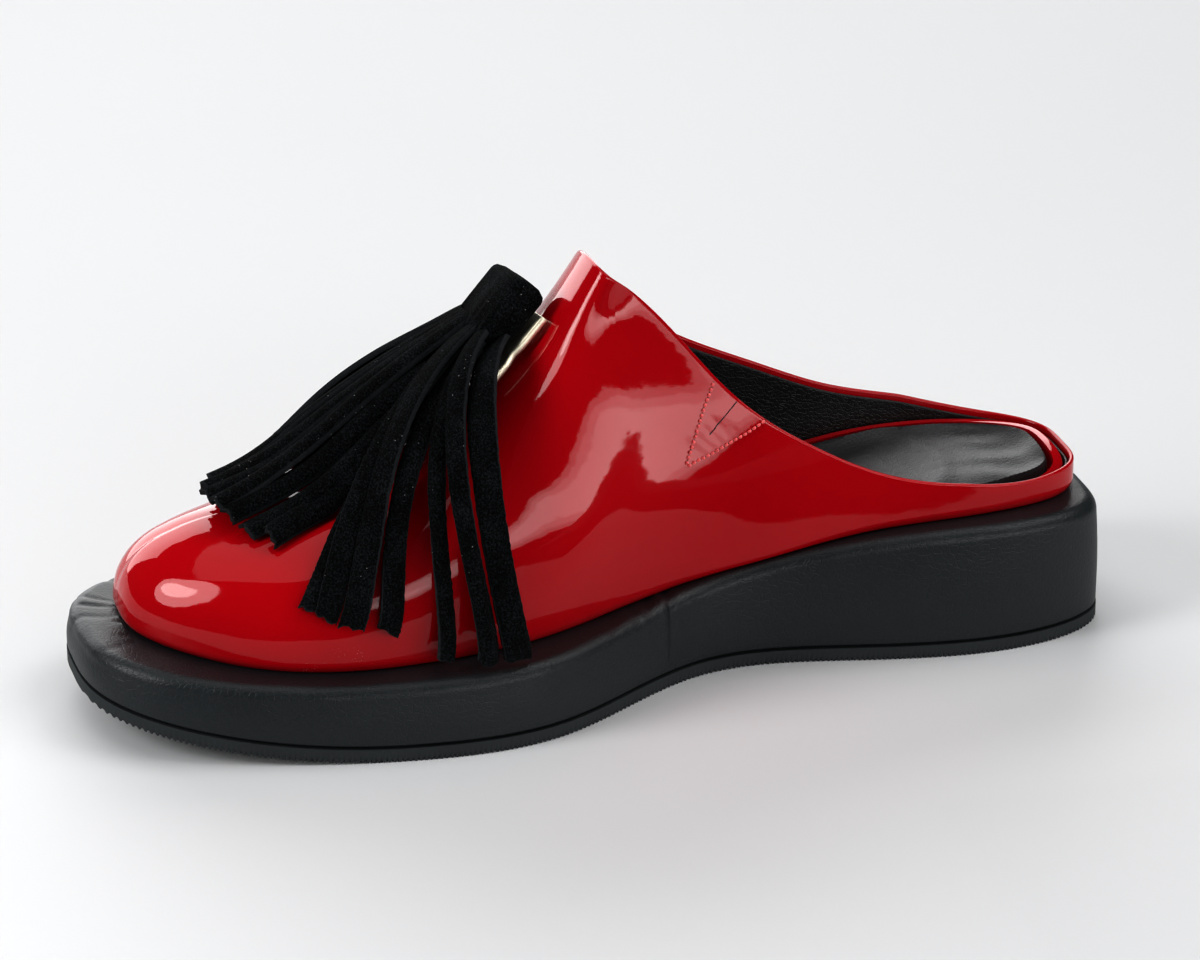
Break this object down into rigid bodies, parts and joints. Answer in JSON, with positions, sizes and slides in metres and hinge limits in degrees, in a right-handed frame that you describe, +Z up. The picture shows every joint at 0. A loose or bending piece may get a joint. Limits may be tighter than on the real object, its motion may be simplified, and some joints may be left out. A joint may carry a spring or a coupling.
{
  "type": "tassel mule",
  "caption": "Closed-toe slip-on mule with a hollow patent upper, a wrapped platform sole, a padded insole and a fringed tassel on the instep.",
  "frame": {"origin": "on the floor, under the middle of the box that holds the sole", "axes": "+Z up from the floor, toe towards -Y and heel towards +Y, inner (medial) side of this right shoe towards +X"},
  "size_m": [0.1143, 0.272, 0.11],
  "materials": {
    "outsole_rubber": "matt black rubber",
    "platform_wrap": "satin black smooth leather",
    "upper_patent": "deep red patent leather with a mirror coat",
    "footbed_edge": "red glossy leather",
    "insole_sock": "satin black padded leather",
    "clip_metal": "pale gold, satin",
    "tassel_suede": "black suede with lighter cut edges"
  },
  "bodies": {
    "root": {"outsole": "outsole_rubber", "platform": "platform_wrap", "upper": "upper_patent", "footbed": "footbed_edge", "insole": "insole_sock", "tassel_clip": "clip_metal", "tassel": "tassel_suede"}
  },
  "joints": []
}
